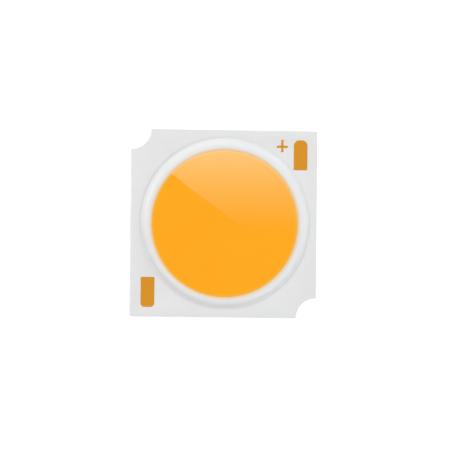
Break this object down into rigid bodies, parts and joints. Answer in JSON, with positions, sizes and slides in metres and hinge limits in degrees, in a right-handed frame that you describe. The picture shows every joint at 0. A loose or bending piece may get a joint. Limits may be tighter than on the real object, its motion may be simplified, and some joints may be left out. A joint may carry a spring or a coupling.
{
  "type": "cob led",
  "caption": "Square aluminium-based chip-on-board LED: white board with a raised round dam, a flat orange phosphor disc, gold solder pads and two screw notches.",
  "frame": {"origin": "centre of the plate's underside", "axes": "+Z is the light-emitting side, +X +Y points to the corner with the positive pad, and the plate's sides run along X and Y"},
  "size_m": [0.028, 0.028, 0.0018],
  "materials": {
    "aluminium": "rolled and punched, mirror-bright under the dice",
    "laminate": "matt resin laminate",
    "gold_copper": "gold-plated copper, satin",
    "solder_mask": "white, satin",
    "white_silicone": "white silicone, semi-gloss",
    "phosphor_silicone": "orange phosphor-filled silicone, glossy",
    "die_adhesive": "cured adhesive",
    "led_die": "polished, translucent blue-grey",
    "gold_wire": "bright gold"
  },
  "bodies": {
    "root": {"base_plate": "aluminium", "insulating_layer": "laminate", "anode_trace": "gold_copper", "cathode_trace": "gold_copper", "polarity_mark": "gold_copper", "solder_mask": "solder_mask", "dam_ring": "white_silicone", "phosphor_gel": "phosphor_silicone", "die_attach": "die_adhesive", "chip_string_1": "led_die", "chip_string_2": "led_die", "chip_string_3": "led_die", "chip_string_4": "led_die", "chip_string_5": "led_die", "chip_string_6": "led_die", "chip_string_7": "led_die", "chip_string_8": "led_die", "chip_string_9": "led_die", "chip_string_10": "led_die", "chip_string_11": "led_die", "chip_string_12": "led_die", "bond_wires_1": "gold_wire", "bond_wires_2": "gold_wire", "bond_wires_3": "gold_wire", "bond_wires_4": "gold_wire", "bond_wires_5": "gold_wire", "bond_wires_6": "gold_wire", "bond_wires_7": "gold_wire", "bond_wires_8": "gold_wire", "bond_wires_9": "gold_wire", "bond_wires_10": "gold_wire", "bond_wires_11": "gold_wire", "bond_wires_12": "gold_wire"}
  },
  "joints": []
}
